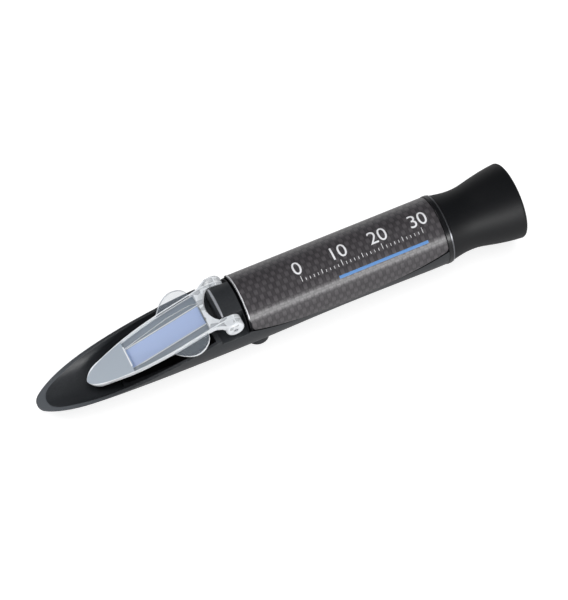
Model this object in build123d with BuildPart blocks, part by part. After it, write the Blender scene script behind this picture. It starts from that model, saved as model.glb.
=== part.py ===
from build123d import *
import math
import os

# Handheld refractometer, millimetres.
# +X runs along the optical axis from the nib to the eyecup, +Z is up.
# The origin is under the middle of the instrument, on the surface it rests on.
# Sketch stations are distances from the tip of the nib, heights are from the optical axis.

# Overall size
overall_length = 207.0
axis_height = 17.2
barrel_radius = 14.2
waist_radius = 13.85
wall = 1.3
running = 0.05
beyond = 20.0

# Nib and the slanted rim of the scoop
nose_radius = 10.8
nose_round = 0.42
rim_height_at_tip = -10.35
rim_slope = 0.206
rim_end = 76.0
scoop_start = 2.9
scoop_end = 72.0
holder_floor = -9.5
holder_front = 35.0
holder_half_width = 6.4
holder_corner = 2.0
floor_front = 34.0
light_bore_radius = 5.0
bulkhead_rear = 86.5
main_bore_radius = 12.0
barrel_end = 172.7

# Hinge of the daylight plate
hinge_station = 80.5
hinge_height = 7.75
knuckle_radius = 3.8
knuckle_inner = 7.55
knuckle_outer = 12.7
knuckle_rounding = 1.3
boss_half_width = 7.2
boss_front = 77.6
slot_clearance = 0.45
slot_rear = 85.5
pin_radius = 1.0
pin_clearance = 0.05

# Daylight plate and prism: both lie on one slope
plate_slope = 0.352
plate_top_at_tip = -15.2
plate_thickness = 1.7
pad_thickness = 0.7
plate_tip = 21.4
plate_half_width = 9.4
plate_straight = 60.0
boss_hollow_radius = 10.1
boss_hollow_station = 82.9
arm_front = 69.0
arm_bend = 75.6
arm_outer = 12.0
tab_thickness = 1.0
tab_reach = 15.3
tab_front = 54.8
tab_rear = 69.6
prism_front = 39.4
prism_rear = 71.4
prism_half_width = 4.3
prism_bottom = -6.2
prism_gap = 0.12
prism_clearance = 0.6
prism_seal_depth = 1.0

# Grip panel let into the top of the barrel
panel_front = 87.2
panel_outer = 14.35
panel_inner = 13.55
panel_bed = 13.5
panel_corner_height = 4.4
panel_low_height = -1.5
panel_corner = 2.2
panel_groove = 0.35
trim_width = 0.45

# Adjusting screw, its foot and the objective carriage
screw_station = 92.4
foot_length = 9.6
foot_half_width = 8.8
foot_height = 8.0
foot_well_radius = 2.6
screw_radius = 1.2
screw_head_radius = 2.25
carriage_radius = 11.0
carriage_front = 89.9
carriage_thickness = 5.0
lens_cell_radius = 8.4
objective_radius = 6.6
strip_root = 118.6
strip_height = -9.4
strip_width = 5.0
strip_thickness = 0.5
strip_screw_radius = 0.95

# Scale glass and eyepiece
reticle_station = 154.0
mount_outer = 14.5
mount_flange = 1.9
mount_tube_radius = 10.2
mount_bore_radius = 8.9
mount_tube_end = 187.0
trim_ring_width = 0.5
eyecup_start = 175.4
eyecup_radius = 16.0
sleeve_radius = 11.3
sleeve_end = 190.5
lens_tube_front = 165.0
lens_tube_rear = 188.3
lens_tube_bore = 7.8

# Frame of the sketches
tip = Vector(-overall_length / 2, 0, axis_height)
side = Plane(origin=tip, x_dir=(1, 0, 0), z_dir=(0, -1, 0))
plan = Plane(origin=tip, x_dir=(1, 0, 0), z_dir=(0, 0, 1))
optical_axis = Axis(tip, (1, 0, 0))
slope_cosine = math.cos(math.atan(plate_slope))


def across(station, height=0.0):
    """Plane square to the optical axis at a distance from the tip."""
    return Plane(origin=tip + Vector(station, 0, height), x_dir=(0, 1, 0), z_dir=(1, 0, 0))


def level(station, height):
    """Horizontal plane with its origin at a station and a height from the optical axis."""
    return Plane(origin=tip + Vector(station, 0, height), x_dir=(1, 0, 0), z_dir=(0, 0, 1))


def upright(station, height, y=0.0):
    """Plane square to Y with its origin at a station and a height from the optical axis."""
    return Plane(origin=tip + Vector(station, y, height), x_dir=(1, 0, 0), z_dir=(0, -1, 0))


def sloped(drop):
    """Plane of the daylight plate, a given distance under its top face, starting at the tip."""
    top = tip + Vector(plate_tip, 0, plate_top_at_tip + plate_slope * plate_tip)
    normal = Vector(-plate_slope, 0, 1).normalized()
    return Plane(origin=top - normal * drop, x_dir=(1, 0, plate_slope), z_dir=normal)


def along(station):
    """Distance up the slope of the daylight plate for a station."""
    return (station - plate_tip) / slope_cosine


def rim_height(station):
    """Height of the slanted rim at a station."""
    return rim_height_at_tip + rim_slope * station


def write(part, name):
    """Label one finished piece and write its file."""
    part.label = name
    export_step(part, f"parts/{name}.step")


def ring(x0, x1, outer, inner, inner_rear=None):
    """Make one ring about the optical axis, with a straight or a tapered bore."""
    rear = inner if inner_rear is None else inner_rear
    with BuildPart() as made:
        with BuildSketch(side):
            with BuildLine():
                Polyline((x0, inner), (x1, rear), (x1, outer), (x0, outer), close=True)
            make_face()
        revolve(axis=optical_axis)
    return made.part


def panel_skin(x0, x1, outer, inner, margin, corner=0.0):
    """Curved skin over the top of the barrel, ending in one long arc low on each side."""
    rear_low = (x1, panel_corner_height - margin)
    middle = ((panel_front + barrel_end) / 2, panel_low_height - margin)
    with BuildPart() as made:
        with BuildSketch(side) as outline:
            with BuildLine():
                if x1 > panel_front:
                    arc_front = (max(x0, panel_front), panel_corner_height - margin)
                    ThreePointArc(arc_front, middle, rear_low)
                    Polyline(rear_low, (x1, beyond), (x0, beyond), (x0, panel_corner_height - margin))
                    if x0 < panel_front:
                        Line((x0, panel_corner_height - margin), arc_front)
                else:
                    front_low = (x0, panel_corner_height - margin)
                    Polyline(rear_low, (x1, beyond), (x0, beyond), front_low, close=True)
            make_face()
            if corner:
                fillet(outline.vertices().group_by(Axis.Y)[0], corner)
        extrude(amount=beyond, both=True)
        add(ring(x0, x1, outer, inner), mode=Mode.INTERSECT)
    return made.part


def plate_height(station, drop):
    """Height at a station of the plane a given distance under the top of the plate."""
    return plate_top_at_tip + plate_slope * station - drop / slope_cosine


os.makedirs("parts", exist_ok=True)

# Body housing: one moulding from the nib to the rear of the barrel
with BuildPart() as scoop_space:
    with BuildSketch(side):
        with BuildLine():
            Line((scoop_start, 0), (scoop_start, nose_radius - 1.6))
            Spline(
                (scoop_start, nose_radius - 1.6),
                (12, 11.95 - wall),
                (22, 12.85 - wall),
                (34, 13.5 - wall),
                (50, 13.95 - wall),
                (scoop_end, barrel_radius - wall),
                tangents=[(1, 0.5), (1, 0)],
            )
            Line((scoop_end, barrel_radius - wall), (scoop_end, 0))
            Line((scoop_end, 0), (scoop_start, 0))
        make_face()
    revolve(axis=optical_axis)

with BuildPart() as scoop_floor:
    add(scoop_space.part)
    with BuildSketch(level(floor_front, holder_floor)):
        Rectangle(scoop_end + 1 - floor_front, 2 * beyond, align=(Align.MIN, Align.CENTER))
    extrude(amount=-beyond, mode=Mode.INTERSECT)

with BuildPart() as body_housing:
    with BuildSketch(side):
        with BuildLine():
            Line((0, 0), (0, nose_radius - nose_round))
            Spline(
                (0, nose_radius - nose_round),
                (2.4, nose_radius),
                (9, 11.6),
                (18, 12.55),
                (30, 13.3),
                (44, 13.8),
                (62, barrel_radius - 0.1),
                (94, barrel_radius),
                (132, waist_radius),
                (164, barrel_radius + 0.1),
                (barrel_end, barrel_radius + 0.1),
                tangents=[(1, 0.35), (1, 0)],
            )
            Line((barrel_end, barrel_radius + 0.1), (barrel_end, 0))
            Line((barrel_end, 0), (0, 0))
        make_face()
    revolve(axis=optical_axis)
    # Everything above the slanted rim comes off as far as the hinge
    with BuildSketch(side):
        with BuildLine():
            Polyline(
                (-1, rim_height(-1)),
                (rim_end, rim_height(rim_end)),
                (rim_end, beyond),
                (-1, beyond),
                close=True,
            )
        make_face()
    extrude(amount=beyond, both=True, mode=Mode.SUBTRACT)
    # Scoop under the rim, with a raised floor that carries the prism holder
    add(scoop_space.part, mode=Mode.SUBTRACT)
    add(scoop_floor.part)
    # Slots for the two knuckles, each side of the hinge boss
    for hand in (1, -1):
        with BuildSketch(upright(0, 0, boss_half_width * hand)):
            with BuildLine():
                Polyline(
                    (rim_end - 2, hinge_height - knuckle_radius - slot_clearance),
                    (slot_rear, hinge_height - knuckle_radius - slot_clearance),
                    (slot_rear, beyond),
                    (rim_end - 2, beyond),
                    close=True,
                )
            make_face()
        extrude(amount=-hand * (beyond - boss_half_width), mode=Mode.SUBTRACT)
    # Slanted front of the boss
    with BuildSketch(side):
        with BuildLine():
            Polyline(
                (rim_end - 3, 2),
                (boss_front, 13),
                (boss_front, beyond),
                (rim_end - 3, beyond),
                close=True,
            )
        make_face()
    extrude(amount=boss_half_width + 0.5, both=True, mode=Mode.SUBTRACT)
    # Bed of the grip panel, which is also the top of the boss
    add(panel_skin(rim_end, barrel_end + 1, beyond, panel_bed, panel_groove), mode=Mode.SUBTRACT)
    # Light bore through the bulkhead, then the long bore of the barrel
    with BuildSketch(across(scoop_end - 2)):
        Circle(light_bore_radius)
    extrude(amount=bulkhead_rear - scoop_end + 4, mode=Mode.SUBTRACT)
    with BuildSketch(across(bulkhead_rear)):
        Circle(main_bore_radius)
    extrude(amount=barrel_end - bulkhead_rear + 1, mode=Mode.SUBTRACT)
    # Bore of the hinge pin and hole of the adjusting screw
    with BuildSketch(upright(hinge_station, hinge_height)):
        Circle(pin_radius)
    extrude(amount=boss_half_width + 1, both=True, mode=Mode.SUBTRACT)
    with BuildSketch(level(screw_station, -beyond)):
        Circle(screw_radius + 0.1)
    extrude(amount=beyond - main_bore_radius + 1, mode=Mode.SUBTRACT)
write(body_housing.part, "body_housing")

# Foot under the barrel: an oval pad with the well of the adjusting screw
with BuildPart() as adjuster_foot:
    with BuildSketch(level(screw_station, -axis_height)):
        RectangleRounded(foot_length, 2 * foot_half_width, foot_length / 2 - 0.1)
    extrude(amount=foot_height)
    chamfer(adjuster_foot.faces().sort_by(Axis.Z)[0].outer_wire().edges(), 0.5)
    add(ring(0, overall_length, barrel_radius + 0.1, 0), mode=Mode.SUBTRACT)
    with BuildSketch(level(screw_station, -axis_height)):
        Circle(foot_well_radius)
    extrude(amount=foot_height, mode=Mode.SUBTRACT)
write(adjuster_foot.part, "adjuster_foot")

# Grip panel: a thin printed skin over the top of the barrel
with BuildPart() as grip_panel:
    add(panel_skin(panel_front, barrel_end - 0.25, panel_outer, panel_inner, 0, panel_corner))
write(grip_panel.part, "grip_panel")

# Bright trim along the front edge of the panel
panel_trim = panel_skin(panel_front - trim_width, panel_front - 0.02, panel_outer + 0.1, panel_inner, 0)
write(panel_trim, "panel_trim")

# Hinge pin through the boss and both knuckles
with BuildPart() as hinge_pin:
    with BuildSketch(upright(hinge_station, hinge_height)):
        Circle(pin_radius - 0.02)
    extrude(amount=knuckle_outer - 0.9, both=True)
    chamfer(hinge_pin.edges(), 0.2)
write(hinge_pin.part, "hinge_pin")

# Daylight plate: clear acrylic with two finger tabs and two hinge knuckles
plate_side = [
    (23.6, 3.3),
    (28.5, 5.35),
    (36.5, 7.2),
    (44, 8.4),
    (52, 9.1),
    (plate_straight, plate_half_width),
]
pad_side = [(38.5, 4.7), (58, 6.6), (68, 6.2), (71.6, 4.6)]
tab_root = 8.9
tab_curve = [(tab_front, tab_root), (58.2, 12.9), (63.4, tab_reach), (67.6, 13.7), (tab_rear, tab_root)]

# Its two arms drop from the plate to the knuckles and spread apart
with BuildPart() as plate_arms:
    with BuildSketch(plan):
        with BuildLine():
            Polyline(
                (arm_front, plate_half_width - 0.05),
                (73.5, 9.6),
                (78, arm_outer),
                (hinge_station, arm_outer),
                (hinge_station, knuckle_inner),
                (arm_front, knuckle_inner),
                close=True,
            )
        make_face()
        mirror(about=Plane.XZ)
    extrude(amount=beyond)
    with BuildSketch(side):
        with BuildLine():
            Polyline(
                (arm_front, plate_height(arm_front, 0.02)),
                (arm_bend, plate_height(arm_bend, 0.02)),
                (hinge_station - 2.6, hinge_height + knuckle_radius),
                (hinge_station, hinge_height + knuckle_radius - 0.05),
                (hinge_station, hinge_height - 1.2),
                (arm_bend, plate_height(arm_bend, plate_thickness) - 0.8),
                (arm_front, plate_height(arm_front, plate_thickness - 0.02)),
                close=True,
            )
        make_face()
    extrude(amount=beyond, both=True, mode=Mode.INTERSECT)


def knuckle(hand):
    """Knuckle on one side of the boss, with a rounded outer end."""
    with BuildPart() as made:
        with BuildSketch(upright(hinge_station, hinge_height, knuckle_inner * hand)):
            Circle(knuckle_radius)
        extrude(amount=-hand * (knuckle_outer - knuckle_inner))
        fillet(made.edges().sort_by(Axis.Y)[-1 if hand > 0 else 0], knuckle_rounding)
    return made.part


with BuildPart() as daylight_plate:
    with BuildSketch(sloped(0)):
        with BuildLine():
            Spline(
                (0, 0),
                *[(along(x), y) for x, y in plate_side],
                tangents=[(0, 1), (1, 0)],
                tangent_scalars=[0.5, 0.5],
            )
            Line((along(plate_straight), plate_half_width), (along(arm_bend), plate_half_width))
            Line((along(arm_bend), plate_half_width), (along(arm_bend), 0))
            Line((along(arm_bend), 0), (0, 0))
        make_face()
        mirror(about=Plane.XZ)
        # The rear end is hollowed round the boss
        with Locations((along(boss_hollow_station), 0)):
            Circle(boss_hollow_radius / slope_cosine, mode=Mode.SUBTRACT)
    extrude(amount=-plate_thickness)
    # Pad under the plate that spreads the sample over the prism
    with BuildSketch(sloped(plate_thickness)):
        with BuildLine():
            near_edge = [(along(x), -y) for x, y in pad_side]
            far_edge = [(along(x), y) for x, y in reversed(pad_side)]
            Polyline(*near_edge, *far_edge, close=True)
        make_face()
    extrude(amount=-pad_thickness)
    # Finger tabs at both sides
    with BuildSketch(sloped(plate_thickness)):
        for hand in (1, -1):
            with BuildLine():
                Spline(*[(along(x), y * hand) for x, y in tab_curve])
                Line((along(tab_rear), tab_root * hand), (along(tab_front), tab_root * hand))
            make_face()
    extrude(amount=tab_thickness)
    add(plate_arms.part)
    for hand in (1, -1):
        add(knuckle(hand))
    with BuildSketch(upright(hinge_station, hinge_height)):
        Circle(pin_radius + pin_clearance - 0.02)
    extrude(amount=beyond, both=True, mode=Mode.SUBTRACT)
write(daylight_plate.part, "daylight_plate")

# Measuring prism: its long face lies under the pad of the plate
prism_drop = plate_thickness + pad_thickness + prism_gap
holder_drop = prism_drop + 0.1
prism_length = prism_rear - prism_front
prism_middle = (prism_front + prism_rear) / 2

with BuildPart() as measuring_prism:
    with BuildSketch(side):
        with BuildLine():
            Polyline(
                (prism_front, plate_height(prism_front, prism_drop)),
                (prism_rear, plate_height(prism_rear, prism_drop)),
                (prism_rear, prism_bottom),
                (prism_front, prism_bottom),
                close=True,
            )
        make_face()
    extrude(amount=prism_half_width, both=True)
    chamfer(measuring_prism.edges().filter_by(Axis.Y), 0.25)
write(measuring_prism.part, "measuring_prism")

# Prism holder: black block that fills the rear of the scoop
with BuildPart() as prism_holder:
    with BuildSketch(side):
        with BuildLine():
            Polyline(
                (holder_front, plate_height(holder_front, holder_drop)),
                (scoop_end - running, plate_height(scoop_end - running, holder_drop)),
                (scoop_end - running, holder_floor),
                (holder_front, holder_floor),
                close=True,
            )
        make_face()
    extrude(amount=holder_half_width, both=True)
    with BuildSketch(level(prism_middle, prism_bottom)):
        Rectangle(prism_length + 2 * prism_clearance, 2 * (prism_half_width + prism_clearance))
    extrude(amount=beyond, mode=Mode.SUBTRACT)
    with BuildSketch(across(prism_rear)):
        Circle(light_bore_radius)
    extrude(amount=scoop_end - prism_rear, mode=Mode.SUBTRACT)
    fillet(prism_holder.edges().filter_by(Axis.Z).sort_by(Axis.X)[:2], holder_corner)
write(prism_holder.part, "prism_holder")

# Soft seal round the top of the prism
with BuildPart() as prism_seal:
    with BuildSketch(level(prism_middle, prism_bottom)):
        Rectangle(prism_length + 2 * prism_clearance - 0.04, 2 * (prism_half_width + prism_clearance) - 0.04)
        Rectangle(prism_length + 0.04, 2 * prism_half_width + 0.04, mode=Mode.SUBTRACT)
    extrude(amount=beyond)
    with BuildSketch(side):
        with BuildLine():
            Polyline(
                (holder_front, plate_height(holder_front, holder_drop)),
                (rim_end, plate_height(rim_end, holder_drop)),
                (rim_end, plate_height(rim_end, holder_drop + prism_seal_depth)),
                (holder_front, plate_height(holder_front, holder_drop + prism_seal_depth)),
                close=True,
            )
        make_face()
    extrude(amount=beyond, both=True, mode=Mode.INTERSECT)
write(prism_seal.part, "prism_seal")

# Light stops: thin blackened discs that keep stray light out of the barrel
for name, station, aperture in (("front_baffle", 124.0, 8.2), ("rear_baffle", 138.0, 7.2)):
    write(ring(station, station + 1.0, main_bore_radius - running, aperture), name)

# Objective carriage: moved up and down by the adjusting screw, with an arm for the strip
carriage_rear = carriage_front + carriage_thickness
clamp_station = strip_root - strip_width / 2
with BuildPart() as objective_carriage:
    with BuildSketch(across(carriage_front)):
        Circle(carriage_radius)
        Circle(light_bore_radius + 0.2, mode=Mode.SUBTRACT)
    extrude(amount=carriage_thickness)
    with BuildSketch(level(screw_station, -main_bore_radius)):
        Circle(screw_radius + running)
    extrude(amount=5.6, mode=Mode.SUBTRACT)
    # Arm under the strip, with a pad that the strip is clamped to
    with BuildSketch(across(carriage_rear, strip_height - 1.2)):
        Rectangle(strip_width, 0.8)
    extrude(amount=strip_root - carriage_rear)
    with BuildSketch(level(clamp_station, strip_height)):
        Rectangle(strip_width, strip_width)
    extrude(amount=-1.6)
    with BuildSketch(level(clamp_station, strip_height)):
        Circle(strip_screw_radius)
    extrude(amount=-beyond, mode=Mode.SUBTRACT)
write(objective_carriage.part, "objective_carriage")


def pan_screw(where, head_radius, head_height, shank_radius, shank_length):
    """Slotted screw with its head above the plane and its shank below it."""
    with BuildPart() as made:
        with BuildSketch(where):
            Circle(head_radius)
        extrude(amount=head_height)
        with BuildSketch(where):
            Circle(shank_radius)
        extrude(amount=-shank_length)
        with BuildSketch(where.offset(head_height)):
            Rectangle(2.2 * head_radius, 0.25 * head_radius)
        extrude(amount=-0.45 * head_height, mode=Mode.SUBTRACT)
    return made.part


# Bimetal strip: bends with temperature and carries the objective cell on its free end
cell_front = carriage_rear + 1.2
cell_rear = cell_front + 6.0
with BuildPart() as bimetal_strip:
    with BuildSketch(level(0, strip_height + 0.1)):
        with Locations(((cell_front + strip_root) / 2, 0)):
            Rectangle(strip_root - cell_front, strip_width)
        with Locations((clamp_station, 0)):
            Circle(strip_screw_radius + 0.15, mode=Mode.SUBTRACT)
    extrude(amount=strip_thickness)
write(bimetal_strip.part, "bimetal_strip")

# Screw that clamps the strip to the arm of the carriage
strip_screw = pan_screw(level(clamp_station, strip_height + 0.7), 1.8, 1.0, strip_screw_radius, 1.4)
write(strip_screw, "strip_screw")

# Objective cell, its lens and its retaining ring
with BuildPart() as objective_cell:
    add(ring(cell_front, cell_rear, lens_cell_radius, objective_radius + running))
    add(ring(cell_front, cell_front + 0.8, lens_cell_radius, objective_radius - 0.7))
    with BuildSketch(level((cell_front + cell_rear) / 2, strip_height + 0.6)):
        Rectangle(cell_rear - cell_front, strip_width)
    extrude(amount=2.0)
    with BuildSketch(across(cell_front + 0.8)):
        Circle(objective_radius + running)
    extrude(amount=cell_rear, mode=Mode.SUBTRACT)
write(objective_cell.part, "objective_cell")


def lens(x0, x1, edge_radius, front_bulge, rear_bulge):
    """Round lens whose two faces are arcs that bulge out by the given amounts."""
    with BuildPart() as made:
        with BuildSketch(side):
            with BuildLine():
                ThreePointArc((x0, -edge_radius), (x0 - front_bulge, 0), (x0, edge_radius))
                Line((x0, edge_radius), (x1, edge_radius))
                ThreePointArc((x1, edge_radius), (x1 + rear_bulge, 0), (x1, -edge_radius))
                Line((x1, -edge_radius), (x0, -edge_radius))
            make_face()
            split(bisect_by=Plane.XZ, keep=Keep.TOP)
        revolve(axis=optical_axis)
    return made.part


write(lens(cell_front + 1.9, cell_front + 4.0, objective_radius, 1.0, 0.6), "objective_lens")
write(ring(cell_front + 4.75, cell_rear - 0.1, objective_radius, objective_radius - 0.9), "objective_ring")

# Adjusting screw in the well of the foot, and its soft seal
head_height = 1.3
head_top = -axis_height + 0.7 + head_height
with BuildPart() as adjusting_screw:
    with BuildSketch(level(screw_station, head_top)):
        Circle(screw_head_radius)
    extrude(amount=-head_height)
    with BuildSketch(level(screw_station, head_top - head_height)):
        Rectangle(2.4 * screw_head_radius, 0.6)
    extrude(amount=0.5, mode=Mode.SUBTRACT)
    with BuildSketch(level(screw_station, head_top)):
        Circle(screw_radius)
    extrude(amount=-7.5 - head_top)
write(adjusting_screw.part, "adjusting_screw")

with BuildPart() as screw_seal:
    with BuildSketch(level(screw_station, head_top + 0.06)):
        Circle(screw_head_radius - 0.1)
        Circle(screw_radius + 0.1, mode=Mode.SUBTRACT)
    extrude(amount=-14.3 - head_top - 0.1)
write(screw_seal.part, "screw_seal")

# Scale glass in its cell
write(ring(reticle_station, reticle_station + 4.0, main_bore_radius - running, 8.9), "reticle_cell")
write(ring(reticle_station + 1.0, reticle_station + 2.5, 8.85, 0), "reticle_glass")
write(ring(reticle_station + 2.6, reticle_station + 3.8, 8.8, 7.6), "reticle_ring")

# Eyepiece mount: black ring at the end of the barrel, with the tube that the eyepiece turns on
with BuildPart() as eyepiece_mount:
    add(ring(162, barrel_end, main_bore_radius - running, mount_bore_radius))
    add(ring(barrel_end, barrel_end + mount_flange, mount_outer, mount_bore_radius))
    add(ring(barrel_end, mount_tube_end, mount_tube_radius, mount_bore_radius))
    add(ring(179, 180.4, mount_tube_radius + 1, mount_tube_radius - 0.7), mode=Mode.SUBTRACT)
    fillet(eyepiece_mount.edges().filter_by(GeomType.CIRCLE).sort_by(SortBy.RADIUS)[-2:], 0.3)
write(eyepiece_mount.part, "eyepiece_mount")

# Thin bright washer behind the black ring
trim_start = barrel_end + mount_flange
trim_end = trim_start + trim_ring_width
write(ring(trim_start, trim_end, mount_outer - 0.2, mount_tube_radius + running), "rear_trim")

# Soft ring in a groove of the mount tube, which gives the focus its drag
write(ring(179.1, 180.3, mount_tube_radius - 0.05, mount_tube_radius - 0.65), "focus_seal")

# Lens tube: slides in the mount without turning and holds the eyepiece lenses
with BuildPart() as lens_tube:
    add(ring(lens_tube_front, lens_tube_rear, mount_bore_radius - running, lens_tube_bore))
    add(ring(lens_tube_front, lens_tube_front + 1.0, mount_bore_radius - running, lens_tube_bore - 1.0))
write(lens_tube.part, "lens_tube")
write(lens(167.4, 169.4, lens_tube_bore - running, 1.2, 0.1), "field_lens")
write(ring(169.7, 180.0, lens_tube_bore - running, lens_tube_bore - 0.8), "lens_spacer")
write(lens(181.4, 184.6, lens_tube_bore - running, 1.2, 1.4), "eye_lens")
write(ring(186.2, 187.8, lens_tube_bore - running, lens_tube_bore - 1.1), "lens_lock_ring")

# Focus sleeve: threaded ring inside the eyecup that turns on the mount tube
with BuildPart() as focus_sleeve:
    add(ring(eyecup_start + 0.4, sleeve_end, sleeve_radius, mount_tube_radius + running))
    add(ring(lens_tube_rear + 0.2, sleeve_end, sleeve_radius, 7.4))
write(focus_sleeve.part, "focus_sleeve")

# Eyecup: turned rubber sleeve, waisted behind the barrel and flared round the eye
with BuildPart() as eyecup:
    with BuildSketch(side):
        with BuildLine():
            Line((eyecup_start, sleeve_radius + 0.02), (eyecup_start, 13.9))
            Spline(
                (eyecup_start, 13.9),
                (177.5, 13.5),
                (181, 12.95),
                (184.5, 12.75),
                (188, 13.0),
                (192, 13.8),
                (196, 14.65),
                (200, 15.35),
                (205.6, eyecup_radius),
            )
            ThreePointArc((205.6, eyecup_radius), (206.75, eyecup_radius - 0.45), (overall_length, 14.8))
            Line((overall_length, 14.8), (overall_length, 14.4))
            Spline(
                (overall_length, 14.4),
                (203, 13.3),
                (198, 12.0),
                (192, 11.0),
                tangents=[(-0.6, -1), (-1, -0.1)],
            )
            Line((192, 11.0), (sleeve_end + 0.1, 11.0))
            Line((sleeve_end + 0.1, 11.0), (sleeve_end + 0.1, sleeve_radius + 0.02))
            Line((sleeve_end + 0.1, sleeve_radius + 0.02), (eyecup_start, sleeve_radius + 0.02))
        make_face()
    revolve(axis=optical_axis)
write(eyecup.part, "eyecup")
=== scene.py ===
# Handheld refractometer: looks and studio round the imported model. Metres, +X towards the eyecup, +Z up.
import math

import bmesh
import bpy
from mathutils import Matrix, Vector


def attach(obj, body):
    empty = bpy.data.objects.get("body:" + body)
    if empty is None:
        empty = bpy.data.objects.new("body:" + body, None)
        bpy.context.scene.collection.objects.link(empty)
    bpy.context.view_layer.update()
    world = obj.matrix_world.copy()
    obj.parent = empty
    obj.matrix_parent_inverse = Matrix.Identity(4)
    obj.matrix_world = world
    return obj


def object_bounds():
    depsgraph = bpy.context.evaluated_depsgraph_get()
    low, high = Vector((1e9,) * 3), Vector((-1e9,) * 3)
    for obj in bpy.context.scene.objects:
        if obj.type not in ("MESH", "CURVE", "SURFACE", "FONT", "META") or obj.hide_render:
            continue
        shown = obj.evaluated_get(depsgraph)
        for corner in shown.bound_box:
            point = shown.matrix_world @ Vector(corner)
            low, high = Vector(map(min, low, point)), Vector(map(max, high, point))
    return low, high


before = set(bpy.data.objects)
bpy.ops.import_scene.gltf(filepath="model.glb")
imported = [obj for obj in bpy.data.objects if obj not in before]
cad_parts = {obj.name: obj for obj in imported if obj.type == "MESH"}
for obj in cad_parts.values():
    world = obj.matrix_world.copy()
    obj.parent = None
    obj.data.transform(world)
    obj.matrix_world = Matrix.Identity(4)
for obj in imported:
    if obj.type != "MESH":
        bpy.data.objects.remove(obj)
cad_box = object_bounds()

# Camera: from the operator's side, high over the bench, on a long lens, so that the barrel hardly
# tapers. look_back points from the instrument to the camera. The lens aims a little beside the
# middle of the barrel, by a few picture points of the 568 by 600 frame.
mm = 0.001
tip_x = cad_box[0].x
axis_z = 17.2 * mm
frame_height = 600
focal_points = 2655
sensor_width = 36
camera_distance = 1.05
look_back = Vector((-0.19989, -0.48991, 0.84855)).normalized()
image_right = Vector((0.90816, -0.41775, -0.02726)).normalized()
aim_right = 7.02
aim_down = 5.86

image_down = image_right.cross(look_back)
aim = -look_back + image_right * (aim_right / focal_points) + image_down * (aim_down / focal_points)
aim.normalize()
camera_right = (image_right - aim * image_right.dot(aim)).normalized()
camera_turn = Matrix((camera_right, camera_right.cross(aim), -aim)).transposed().to_4x4()
camera_place = Vector((0, 0, axis_z)) + look_back * camera_distance
camera_data = bpy.data.cameras.new("camera")
camera_data.lens = focal_points * sensor_width / frame_height
camera_data.sensor_width = sensor_width
camera = bpy.data.objects.new("camera", camera_data)
bpy.context.scene.collection.objects.link(camera)
camera.matrix_world = Matrix.Translation(camera_place) @ camera_turn
bpy.context.scene.camera = camera


# Studio: a plain pale paper floor, and a room with pale walls and a dim ceiling, which dark glossy
# things mirror. Rays from the camera, and those through glass, see the paper and the room as white.
def colour(hex_code):
    """Linear colour from an sRGB hex code."""
    parts = [int(hex_code[i : i + 2], 16) / 255 for i in (1, 3, 5)]
    return (*[p / 12.92 if p <= 0.04045 else ((p + 0.055) / 1.055) ** 2.4 for p in parts], 1.0)


def add_node(tree, kind, *inputs, named=(), **settings):
    """Add a node with its settings. Inputs, in order or named, are values, sockets or whole nodes."""
    made = tree.nodes.new(kind)
    for name, value in settings.items():
        setattr(made, name, value)
    for key, value in [*enumerate(inputs), *dict(named).items()]:
        if isinstance(value, bpy.types.Node):
            value = value.outputs[0]
        if isinstance(value, bpy.types.NodeSocket):
            tree.links.new(value, made.inputs[key])
        else:
            made.inputs[key].default_value = value
    return made


def ray_kinds(tree):
    """One for rays straight from the camera or through glass, and one for mirrored rays, else zero."""
    path = add_node(tree, "ShaderNodeLightPath").outputs
    seen = (path["Is Camera Ray"], path["Is Transmission Ray"])
    return add_node(tree, "ShaderNodeMath", *seen, operation="MAXIMUM"), path["Is Glossy Ray"]


def blend_tones(tree, value, start, end, first, second):
    """Colour that goes from a first tone to a second one as a value goes from start to end."""
    share = add_node(tree, "ShaderNodeMapRange", value, start, end)
    tones = {"Factor": share, "A": colour(first), "B": colour(second)}
    return add_node(tree, "ShaderNodeMix", named=tones, data_type="RGBA").outputs["Result"]


# Matt paper: it spreads light evenly, keeps the shadow, and is lifted to white where it is seen
floor_size = 8
straight_lift = 0.72
mirrored_lift = 0.12
paper = bpy.data.materials.new("pale_studio_paper")
paper.use_nodes = True
tree = paper.node_tree
tree.nodes.clear()
straight, mirrored = ray_kinds(tree)
matt = add_node(tree, "ShaderNodeBsdfDiffuse", colour("#c4c4c4"))
seen_lift = add_node(tree, "ShaderNodeMath", straight, straight_lift, operation="MULTIPLY")
lift = add_node(tree, "ShaderNodeMath", mirrored, mirrored_lift, seen_lift, operation="MULTIPLY_ADD")
glow = add_node(tree, "ShaderNodeEmission", colour("#ffffff"), lift)
surface = add_node(tree, "ShaderNodeAddShader", matt, glow)
add_node(tree, "ShaderNodeOutputMaterial", surface)
bpy.ops.mesh.primitive_plane_add(size=floor_size)
floor = bpy.context.object
floor.name = "studio_floor"
floor.data.materials.append(paper)

# The walls are pale up to a slope of 0.12, and have darkened to the ceiling's tone at 0.42
wall_top = 0.12
ceiling_start = 0.42
room_light = 0.8
room = bpy.data.worlds.new("studio_room")
room.use_nodes = True
bpy.context.scene.world = room
tree = room.node_tree
tree.nodes.clear()
direction = add_node(tree, "ShaderNodeTexCoord").outputs["Generated"]
slope = add_node(tree, "ShaderNodeSeparateXYZ", direction).outputs["Z"]
walls = blend_tones(tree, slope, wall_top, ceiling_start, "#c4c5c8", "#595b5d")
lit = add_node(tree, "ShaderNodeBackground", walls, room_light)
white = add_node(tree, "ShaderNodeBackground", colour("#ffffff"), 1.0)
pick = add_node(tree, "ShaderNodeMixShader", ray_kinds(tree)[0], lit, white)
add_node(tree, "ShaderNodeOutputWorld", pick)


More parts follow.
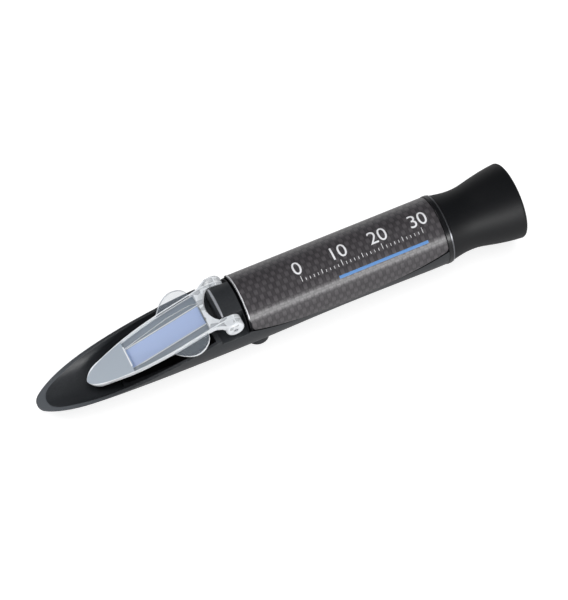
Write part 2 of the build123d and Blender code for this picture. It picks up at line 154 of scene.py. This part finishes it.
def softbox(name, place, size, power, mirrored=True):
    """Rectangular soft lamp that faces the instrument. mirrored says whether gloss shows it."""
    data = bpy.data.lights.new(name, "AREA")
    data.shape = "RECTANGLE"
    data.size, data.size_y = size
    data.energy = power
    lamp = bpy.data.objects.new(name, data)
    bpy.context.scene.collection.objects.link(lamp)
    lamp.location = place
    lamp.rotation_euler = (-Vector(place)).to_track_quat("-Z", "Y").to_euler()
    lamp.visible_glossy = mirrored


softbox("softbox_in_front", (0.0, -1.25, 0.47), (1.5, 0.32), 13)
softbox("softbox_on_the_left", (-0.75, 0.42, 0.85), (0.5, 0.5), 3)
softbox("ceiling_bounce", (0.2, -0.1, 1.6), (1.6, 1.6), 16, mirrored=False)
bpy.context.scene.view_settings.view_transform = "Standard"


# Housing: one black casting, from the nib with its scoop to the end of the barrel, and the foot
# under it. It is stove enamelled satin black, which leaves a faint orange peel that breaks up the
# mirrored walls, and the enamel rounds each edge a little.
def start_material(name, roughness, inputs=()):
    """New material with one Principled shader. Gives the material, its tree and the shader."""
    made = bpy.data.materials.new(name)
    made.use_nodes = True
    shader = made.node_tree.nodes["Principled BSDF"]
    shader.inputs["Roughness"].default_value = roughness
    for key, value in dict(inputs).items():
        shader.inputs[key].default_value = value
    return made, made.node_tree, shader


def add_grain(tree, shader, size, depth, *tones, edge_radius=0.0):
    """Give a surface grain of a real size and depth, in one tone or shaded between two."""
    place = add_node(tree, "ShaderNodeTexCoord").outputs["Object"]
    grain = {"Vector": place, "Scale": 1 / size, "Detail": 3.0}
    noise = add_node(tree, "ShaderNodeTexNoise", named=grain)
    bump = add_node(tree, "ShaderNodeBump", named={"Height": noise, "Distance": depth})
    if edge_radius:
        rounded = add_node(tree, "ShaderNodeBevel", edge_radius, samples=6)
        tree.links.new(rounded.outputs[0], bump.inputs["Normal"])
    tree.links.new(bump.outputs[0], shader.inputs["Normal"])
    if tones:
        shader.inputs["Base Color"].default_value = colour(tones[0])
    if len(tones) == 2:
        shaded = blend_tones(tree, noise, 0.3, 0.7, *tones)
        tree.links.new(shaded, shader.inputs["Base Color"])


def dress(node_name, material):
    """Give a CAD node its one material."""
    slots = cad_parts[node_name].data.materials
    slots.clear()
    slots.append(material)


def real_place(tree):
    """Real place on the instrument, as a vector and as its parts X, Y and Z."""
    place = add_node(tree, "ShaderNodeTexCoord").outputs["Object"]
    return place, add_node(tree, "ShaderNodeSeparateXYZ", place).outputs


smooth = {"interpolation_type": "SMOOTHSTEP"}


def near(tree, value, middle, width):
    """One where a value is close to its middle, fading to zero at the given width."""
    off = add_node(tree, "ShaderNodeMath", value, middle, operation="SUBTRACT")
    gap = add_node(tree, "ShaderNodeMath", off, operation="ABSOLUTE")
    return add_node(tree, "ShaderNodeMapRange", gap, 0.4 * width, width, 1.0, 0.0, **smooth)


def overlap(tree, *masks):
    """Up only where all of the masks are up."""
    shared = masks[0]
    for mask in masks[1:]:
        shared = add_node(tree, "ShaderNodeMath", shared, mask, operation="MULTIPLY")
    return shared


def depth_under(tree, place, point, normal):
    """Depth under the plane through a point that has the given normal."""
    reach = add_node(tree, "ShaderNodeVectorMath", place, normal, operation="DOT_PRODUCT")
    return add_node(tree, "ShaderNodeMath", point.dot(normal), reach.outputs["Value"], operation="SUBTRACT")


def paint_over(tree, shader, mask, shade):
    """Cover the colour that is there with another one, where a mask is up."""
    below = shader.inputs["Base Color"].links[0].from_socket
    paints = {"Factor": mask, "A": below, "B": colour(shade)}
    mixed = add_node(tree, "ShaderNodeMix", named=paints, data_type="RGBA")
    tree.links.new(mixed.outputs["Result"], shader.inputs["Base Color"])


black_enamel, tree, shader = start_material("satin_black_enamel", 0.4)
add_grain(tree, shader, 0.7 * mm, 0.012 * mm, "#26282b", "#2d2f32", edge_radius=0.4 * mm)
place, at = real_place(tree)

# A bright line is painted along the front edge of the hinge boss, a painted highlight where the rounded
# edge catches the light
boss_edge = tip_x + 77.3 * mm
boss_low = axis_z + 11.2 * mm
boss_highlight_edge = near(tree, at["X"], boss_edge, 0.5 * mm)
high_up = add_node(tree, "ShaderNodeMapRange", at["Z"], boss_low, boss_low + 0.6 * mm, **smooth)
paint_over(tree, shader, overlap(tree, boss_highlight_edge, high_up), "#aeb0b6")

# The groove round the grip panel is painted black and dull, a painted shade: below the panel's edge, which
# is a long shallow curve on each side, and in front of the panel's trim
panel_low = axis_z - 1.5 * mm
panel_rise = 5.9 * mm
panel_middle = tip_x + 129.95 * mm
panel_half_length = 42.7 * mm
trim_front = panel_middle - 43.9 * mm
trim_rear = panel_middle - 43.2 * mm
corner_z = axis_z + 3.6 * mm


def height_over_edge(tree, at):
    """Height over the panel's lower edge, which rises as the square of the way from its middle."""
    off = add_node(tree, "ShaderNodeMath", at["X"], panel_middle, operation="SUBTRACT")
    share = add_node(tree, "ShaderNodeMath", off, panel_half_length, operation="DIVIDE")
    square = add_node(tree, "ShaderNodeMath", share, 2.0, operation="POWER")
    edge = add_node(tree, "ShaderNodeMath", square, panel_rise, panel_low, operation="MULTIPLY_ADD")
    return add_node(tree, "ShaderNodeMath", at["Z"], edge, operation="SUBTRACT")


under_edge = near(tree, height_over_edge(tree, at), -0.3 * mm, 0.55 * mm)
behind_trim = add_node(tree, "ShaderNodeMapRange", at["X"], trim_rear - 0.4 * mm, trim_rear, **smooth)
before_trim = near(tree, at["X"], trim_front, 0.7 * mm)
over_corner = add_node(tree, "ShaderNodeMapRange", at["Z"], corner_z, corner_z + 0.6 * mm, **smooth)
below = overlap(tree, under_edge, behind_trim)
ahead = overlap(tree, before_trim, over_corner)
groove_shade = add_node(tree, "ShaderNodeMath", below, ahead, operation="MAXIMUM")
paint_over(tree, shader, groove_shade, "#030304")
gloss = add_node(tree, "ShaderNodeMapRange", groove_shade, 0.0, 1.0, 0.5, 0.0, **smooth)
tree.links.new(gloss.outputs[0], shader.inputs["Specular IOR Level"])

# The rim of the scoop is painted paler round the tip of the nib, a painted sheen of the light it catches
rim_normal = Vector((-0.206, 0, 1)).normalized()
rim_point = Vector((tip_x, 0, axis_z - 10.35 * mm))
sheen_start = tip_x + 4 * mm
sheen_end = tip_x + 40 * mm
on_rim = near(tree, depth_under(tree, place, rim_point, rim_normal), 0.0, 0.2 * mm)
by_tip = add_node(tree, "ShaderNodeMapRange", at["X"], sheen_start, sheen_end, 1.0, 0.0, **smooth)
paint_over(tree, shader, overlap(tree, on_rim, by_tip), "#4f5358")
dress("body_housing", black_enamel)
dress("adjuster_foot", black_enamel)

# Inner metal parts: turned aluminium, anodised matt black so that they throw no stray light.
# The etched surface gives a soft, even sheen with no colour.
black_anodised, tree, shader = start_material("matt_black_anodised_aluminium", 0.6)
add_grain(tree, shader, 0.3 * mm, 0.006 * mm, "#17181a")
for name in (
    "prism_holder",
    "front_baffle",
    "rear_baffle",
    "reticle_cell",
    "reticle_ring",
    "objective_cell",
    "objective_ring",
    "lens_tube",
    "lens_spacer",
    "lens_lock_ring",
    "focus_sleeve",
):
    dress(name, black_anodised)

# Grip panel: a skin of carbon weave under thick clear lacquer, glued into its bed on the barrel.
# Bundles of fibre cross over and under. Those that lie over stand a little higher, and the lacquer draws
# one soft bright band along the barrel. The colour is painted paler on the bundles that lie over, a painted
# sheen, and darker into the dips between bundles, a painted shade.
weave_along = 1.6 * mm
weave_round = 2.5 * mm
weave_depth = 0.12 * mm
thread_length = 2.5 * mm
panel_radius = 14.35 * mm
lacquer = {"Coat Weight": 0.6, "Coat Roughness": 0.24, "Specular IOR Level": 0.45}
weave, tree, shader = start_material("lacquered_carbon_weave", 0.34, lacquer)
place, at = real_place(tree)
over_axis = add_node(tree, "ShaderNodeMath", at["Z"], axis_z, operation="SUBTRACT")
turn = add_node(tree, "ShaderNodeMath", at["Y"], over_axis, operation="ARCTAN2")
round_way = add_node(tree, "ShaderNodeMath", turn, panel_radius / weave_round, operation="MULTIPLY")
long_way = add_node(tree, "ShaderNodeMath", at["X"], weave_along, operation="DIVIDE")
row = add_node(tree, "ShaderNodeMath", round_way, operation="FLOOR")
column = add_node(tree, "ShaderNodeMath", long_way, operation="FLOOR")
diagonal = add_node(tree, "ShaderNodeMath", row, column, operation="ADD")
lies_over = add_node(tree, "ShaderNodeMath", diagonal, 1.0, operation="PINGPONG")
lies_under = add_node(tree, "ShaderNodeMath", 1.0, lies_over, operation="SUBTRACT")


def swell(tree, value):
    """Rounded rise and fall of one bundle across its width."""
    part = add_node(tree, "ShaderNodeMath", value, operation="FRACT")
    half_turns = add_node(tree, "ShaderNodeMath", part, math.pi, operation="MULTIPLY")
    arch = add_node(tree, "ShaderNodeMath", half_turns, operation="SINE")
    return add_node(tree, "ShaderNodeMath", arch, 0.3, operation="POWER")


over = overlap(tree, lies_over, swell(tree, round_way))
under = overlap(tree, lies_under, swell(tree, long_way))
relief = add_node(tree, "ShaderNodeMath", under, 0.75, over, operation="MULTIPLY_ADD")
threads = add_node(tree, "ShaderNodeTexNoise", named={"Vector": place, "Scale": 1 / thread_length})
# Painted sheen and shade: the tone rises with each bundle's swell, most on the bundles that lie over
shade = add_node(tree, "ShaderNodeMath", under, 0.3, operation="MULTIPLY")
shade = add_node(tree, "ShaderNodeMath", over, 0.6, shade, operation="MULTIPLY_ADD")
shade = add_node(tree, "ShaderNodeMath", threads, 0.25, shade, operation="MULTIPLY_ADD")
fibre = blend_tones(tree, shade, 0.1, 0.9, "#1d1b1e", "#575356")
tree.links.new(fibre, shader.inputs["Base Color"])

# The skin's lower edge is painted black, a painted shade of the groove below it
paint_over(tree, shader, near(tree, height_over_edge(tree, at), 0.0, 0.3 * mm), "#030304")
woven = {"Height": relief, "Distance": weave_depth, "Strength": 0.8}
bump = add_node(tree, "ShaderNodeBump", named=woven)
tree.links.new(bump.outputs[0], shader.inputs["Normal"])
dress("grip_panel", weave)

# Print on the panel: a scale with plain numbers in white ink, over one blue rule. The ink is
# screen printed on the lacquer as a thin film, which is rougher than the lacquer and looks chalky.
# Its grain is drawn coarser than it is, at 0.25 mm, so that it shows close up.
white_ink, tree, shader = start_material("white_screen_ink", 0.45)
add_grain(tree, shader, 0.25 * mm, 0.004 * mm, "#dcdcdf", "#ececee")
blue_ink, tree, shader = start_material("blue_screen_ink", 0.45)
add_grain(tree, shader, 0.25 * mm, 0.004 * mm, "#4c80bc", "#5a8dc9")
ink_height = 0.03 * mm
ink_gap = 0.01 * mm
bend_step = 0.4 * mm


def wrap_print(name, flat_mesh, start, degrees, material):
    """Bend a flat mesh, x along the barrel and y up, round the panel, and ride it on the housing."""
    for vertex in flat_mesh.vertices:
        along, up, out = vertex.co
        turn = math.radians(degrees) - up / panel_radius
        reach = panel_radius + ink_gap + max(out, 0.0)
        vertex.co = (tip_x + start + along, -reach * math.sin(turn), axis_z + reach * math.cos(turn))
    flat_mesh.materials.clear()
    flat_mesh.materials.append(material)
    made = bpy.data.objects.new(name, flat_mesh)
    bpy.context.scene.collection.objects.link(made)
    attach(made, "housing")


def bar_mesh(bars):
    """Flat bars from (x0, y0, x1, y1), each a thin box that is cut across so that it can bend."""
    made = bmesh.new()
    for x0, y0, x1, y1 in bars:
        cuts = max(1, math.ceil((y1 - y0) / bend_step))
        rings = []
        for i in range(cuts + 1):
            y = y0 + (y1 - y0) * i / cuts
            corners = ((x0, y, 0), (x1, y, 0), (x1, y, ink_height), (x0, y, ink_height))
            rings.append([made.verts.new(corner) for corner in corners])
        for low, high in zip(rings, rings[1:]):
            for k in range(4):
                made.faces.new((low[k], low[(k + 1) % 4], high[(k + 1) % 4], high[k]))
        made.faces.new(rings[0][::-1])
        made.faces.new(rings[-1])
    bmesh.ops.recalc_face_normals(made, faces=made.faces)
    mesh = bpy.data.meshes.new("bars")
    made.to_mesh(mesh)
    made.free()
    return mesh


def figure_mesh(number, size):
    """One number as a flat mesh, cut into strips along the barrel so that it can bend round it."""
    text = bpy.data.curves.new("figure", "FONT")
    text.body = str(number)
    text.size = size
    text.align_x = "CENTER"
    text.extrude = ink_height / 2
    text.resolution_u = 6
    figure = bpy.data.objects.new("figure", text)
    bpy.context.scene.collection.objects.link(figure)
    bpy.context.view_layer.update()
    mesh = bpy.data.meshes.new_from_object(figure)
    bpy.data.objects.remove(figure)
    made = bmesh.new()
    made.from_mesh(mesh)
    heights = [vertex.co.y for vertex in made.verts]
    cut = min(heights) + bend_step
    while cut < max(heights):
        everything = made.verts[:] + made.edges[:] + made.faces[:]
        bmesh.ops.bisect_plane(made, geom=everything, plane_co=(0, cut, 0), plane_no=(0, 1, 0))
        cut += bend_step
    made.to_mesh(mesh)
    made.free()
    return mesh


scale_start = 112 * mm
scale_step = 1.75 * mm
scale_end = 30
marks_turn = 27
figures_turn = 14
figure_size = 8.2 * mm
half_mark = 0.11 * mm
mark_heights = {10: 2.4 * mm, 5: 1.8 * mm, 1: 1.1 * mm}
marks = []
for i in range(scale_end + 1):
    height = next(tall for every, tall in mark_heights.items() if i % every == 0)
    marks.append((i * scale_step - half_mark, 0, i * scale_step + half_mark, height))
wrap_print("scale_marks", bar_mesh(marks), scale_start, marks_turn, white_ink)
for i in range(0, scale_end + 1, 10):
    figure_start = scale_start + i * scale_step
    figure = figure_mesh(i, figure_size)
    wrap_print(f"scale_figure_{i}", figure, figure_start, figures_turn, white_ink)

rule_start = 126.4 * mm
rule_length = 38.8 * mm
half_rule = 0.6 * mm
rule_turn = 42.8
rule = bar_mesh([(0, -half_rule, rule_length, half_rule)])
wrap_print("blue_rule", rule, rule_start, rule_turn, blue_ink)

# Bright trims: the strip along the panel's front edge is brushed aluminium, laid in with the panel.
# Its brushing spreads most of the light, so it is a clean pale line, which is painted dark and dull low
# down as painted shade. The thin washer behind the black ring is darker, of nickel-plated brass.
trim_shade_low = axis_z + 8.0 * mm
trim_shade_high = axis_z + 10.5 * mm
aluminium, tree, shader = start_material("brushed_aluminium", 0.34, {"Metallic": 0.25})
add_grain(tree, shader, 0.4 * mm, 0.002 * mm, "#dfe0e3", "#e5e6e9")
at = real_place(tree)[1]
# Painted shade: the strip is painted dark and dull low down
painted_low_shade = add_node(tree, "ShaderNodeMapRange", at["Z"], trim_shade_low, trim_shade_high, 1.0, 0.0, **smooth)
paint_over(tree, shader, painted_low_shade, "#161618")
gloss = add_node(tree, "ShaderNodeMapRange", painted_low_shade, 0.0, 1.0, 0.5, 0.1, **smooth)
tree.links.new(gloss.outputs[0], shader.inputs["Specular IOR Level"])
dress("panel_trim", aluminium)
nickel, tree, shader = start_material("satin_nickel_plate", 0.3, {"Metallic": 0.9})
add_grain(tree, shader, 0.4 * mm, 0.002 * mm, "#7d7e82")
dress("rear_trim", nickel)

# Eyepiece mount: turned ring and tube, dipped in gloss black enamel. The enamel flows smooth, so it
# shows the softbox as one crisp line.
gloss_black, tree, shader = start_material("gloss_black_enamel", 0.27)
add_grain(tree, shader, 1.2 * mm, 0.004 * mm, "#111113")
dress("eyepiece_mount", gloss_black)

# Eyecup: moulded rubber, waisted and flared, with the fine matt skin of a blasted mould. It shows
# only broad soft light, and the seals are of the same rubber. The skin's grain is drawn coarser than
# it is, at 0.25 mm, so that it shows close up.
rubber, tree, shader = start_material("blasted_mould_rubber", 0.5, {"Specular IOR Level": 0.36})
add_grain(tree, shader, 0.25 * mm, 0.012 * mm, "#08090b", "#0e0f12")
for name in ("eyecup", "prism_seal", "focus_seal", "screw_seal"):
    dress(name, rubber)

# Small steel parts: turned or rolled stainless steel, screwed or pressed in. The tool leaves a fine
# grain that blurs what the metal mirrors. It is drawn coarser than it is, at 0.2 mm.
steel, tree, shader = start_material("turned_stainless_steel", 0.3, {"Metallic": 1.0})
add_grain(tree, shader, 0.2 * mm, 0.004 * mm, "#b7b8ba")
for name in ("hinge_pin", "adjusting_screw", "bimetal_strip", "strip_screw"):
    dress(name, steel)

# Objective carriage: turned brass, left bare where it slides in the barrel. It looks warm and
# yellow beside the black metal round it.
brass, tree, shader = start_material("turned_brass", 0.32, {"Metallic": 1.0})
add_grain(tree, shader, 0.25 * mm, 0.004 * mm, "#c3a050")
dress("objective_carriage", brass)

# Lenses and scale glass: polished crown glass, hardly coloured, each held in its cell by a ring.
# The polish leaves them clear with sharp reflections.
clear = {"Transmission Weight": 1.0, "IOR": 1.52}
crown_glass, tree, shader = start_material("polished_crown_glass", 0.02, clear)
add_grain(tree, shader, 3 * mm, 0.0005 * mm, "#e8eef8")
for name in ("objective_lens", "field_lens", "eye_lens", "reticle_glass"):
    dress(name, crown_glass)

# Measuring prism: dense glass in a black holder, sealed round its edge. Its face is finely ground,
# so it scatters a pale blue light back.
prism_glass, tree, shader = start_material("ground_prism_glass", 0.3, {"Specular IOR Level": 0.7})
add_grain(tree, shader, 0.3 * mm, 0.004 * mm, "#a3b8e6", "#b2c6ec")
dress("measuring_prism", prism_glass)

# Daylight plate: moulded clear acrylic with two finger tabs and two knuckles on the hinge pin. Its nose and
# the strips beside the window are frosted, and its cut edges are painted near white, a painted glow of the
# light that the acrylic gathers in them.
# The alpha says how milky each place is.
acrylic, tree, shader = start_material("moulded_clear_acrylic", 0.16, {"IOR": 1.49})
add_grain(tree, shader, 0.5 * mm, 0.003 * mm)
window_front = tip_x + 39.1 * mm
window_rear = tip_x + 71.0 * mm
window_half_width = 4.6 * mm
ridge_width = 0.4 * mm
skin = 1.0 * mm
pad_top = 1.8 * mm
edge_tilt = 0.88
face_tilt = 0.97
tab_root = 9.45 * mm
tab_blend = tab_root + 0.2 * mm
nose_end = window_front + 0.2 * mm
plate_point = Vector((tip_x, 0, axis_z - 15.2 * mm))
plate_normal = Vector((-0.352, 0, 1)).normalized()
place, at = real_place(tree)
facing = add_node(tree, "ShaderNodeTexCoord").outputs["Normal"]
tilt = add_node(tree, "ShaderNodeVectorMath", facing, plate_normal, operation="DOT_PRODUCT")
flatness = add_node(tree, "ShaderNodeMath", tilt.outputs["Value"], operation="ABSOLUTE")
edge = add_node(tree, "ShaderNodeMapRange", flatness, edge_tilt, face_tilt, 1.0, 0.0, **smooth)
depth = depth_under(tree, place, plate_point, plate_normal)
underside = add_node(tree, "ShaderNodeMapRange", depth, skin, skin + 0.4 * mm, **smooth)
on_pad = add_node(tree, "ShaderNodeMapRange", depth, pad_top, pad_top + 0.1 * mm, **smooth)

# Along and across the plate: nose, window, arms and tabs
aside = add_node(tree, "ShaderNodeMath", at["Y"], operation="ABSOLUTE")
behind_nose = add_node(tree, "ShaderNodeMapRange", at["X"], nose_end - 0.4 * mm, nose_end, **smooth)
nose = add_node(tree, "ShaderNodeMath", 1.0, behind_nose, operation="SUBTRACT")
arms = add_node(tree, "ShaderNodeMapRange", at["X"], window_rear, window_rear + 0.5 * mm, **smooth)
wide = window_half_width + 0.3 * mm
beside = add_node(tree, "ShaderNodeMapRange", aside, window_half_width, wide, **smooth)
inside = add_node(tree, "ShaderNodeMath", 1.0, beside, operation="SUBTRACT")
tabs = add_node(tree, "ShaderNodeMapRange", aside, tab_root, tab_blend, **smooth)
off_tabs = add_node(tree, "ShaderNodeMath", 1.0, tabs, operation="SUBTRACT")

# Ridge round the window, frosted strips beside it, edge of the pad and outer edge
window_side = near(tree, aside, window_half_width, ridge_width)
window_side = overlap(tree, window_side, behind_nose, underside)
window_end = overlap(tree, near(tree, at["X"], window_front, ridge_width), inside)
ridge = add_node(tree, "ShaderNodeMath", window_side, window_end, operation="MAXIMUM")
frosted = overlap(tree, beside, underside, off_tabs)
pad_edge = overlap(tree, edge, on_pad)
outer_edge = add_node(tree, "ShaderNodeMath", edge, pad_edge, operation="SUBTRACT")

# A pale line runs just inside the plate's outline, a painted glow of the light gathered in its edge. Half
# the plate's width is w (1 - (1 - t)^1.75)^0.45 at the share t of the way from the nose to the middle
outline_front = tip_x + 21.4 * mm
outline_rear = outline_front + 38.6 * mm
widest = 9.4 * mm
ahead = add_node(tree, "ShaderNodeMapRange", at["X"], outline_front, outline_rear, 1.0, 0.0)
narrowing = add_node(tree, "ShaderNodeMath", ahead, 1.75, operation="POWER")
fullness = add_node(tree, "ShaderNodeMath", 1.0, narrowing, operation="SUBTRACT")
fullness = add_node(tree, "ShaderNodeMath", fullness, 0.45, operation="POWER")
half_width = add_node(tree, "ShaderNodeMath", fullness, widest, operation="MULTIPLY")
inward = add_node(tree, "ShaderNodeMath", half_width, aside, operation="SUBTRACT")
edge_glow_line = overlap(tree, near(tree, inward, 0.2 * mm, 0.5 * mm), off_tabs)

# The arms are ribbed and polished in facets, some clear and some milky
facet_size = 2.4 * mm
facets = add_node(tree, "ShaderNodeTexVoronoi", named={"Vector": place, "Scale": 1 / facet_size})
glint = add_node(tree, "ShaderNodeMapRange", facets.outputs["Color"], 0.25, 0.6, 0.35, 1.0, **smooth)


def strongest(tree, *weighed):
    """Greatest of several masks, each multiplied by its weight."""
    most = 0.0
    for mask, weight in weighed:
        share = add_node(tree, "ShaderNodeMath", mask, weight, operation="MULTIPLY")
        most = add_node(tree, "ShaderNodeMath", most, share, operation="MAXIMUM")
    return most


milk = strongest(
    tree,
    (nose, 0.93),
    (frosted, 0.6),
    (tabs, 0.2),
    (overlap(tree, arms, glint), 0.85),
    (ridge, 0.85),
    (edge_glow_line, 0.8),
    (outer_edge, 0.9),
    (pad_edge, 0.45),
)
milk = add_node(tree, "ShaderNodeMath", milk, 0.05, operation="MAXIMUM")
tree.links.new(milk.outputs[0], shader.inputs["Alpha"])
# The cut edges and the line along the outline are painted near white, a painted glow of gathered light; the
# arms and the ridge are paler too
frost_and_edge_glow = strongest(tree, (edge, 1.0), (arms, 0.8), (ridge, 0.9), (edge_glow_line, 0.9))
plastic = blend_tones(tree, frost_and_edge_glow, 0.0, 1.0, "#a0abb7", "#f6f9fc")
tree.links.new(plastic, shader.inputs["Base Color"])
dress("daylight_plate", acrylic)

# The mould rounds every sharp edge of the plate
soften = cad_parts["daylight_plate"].modifiers.new("moulded_edges", "BEVEL")
soften.width = 0.4 * mm
soften.segments = 3
soften.limit_method = "ANGLE"
soften.angle_limit = math.radians(40)
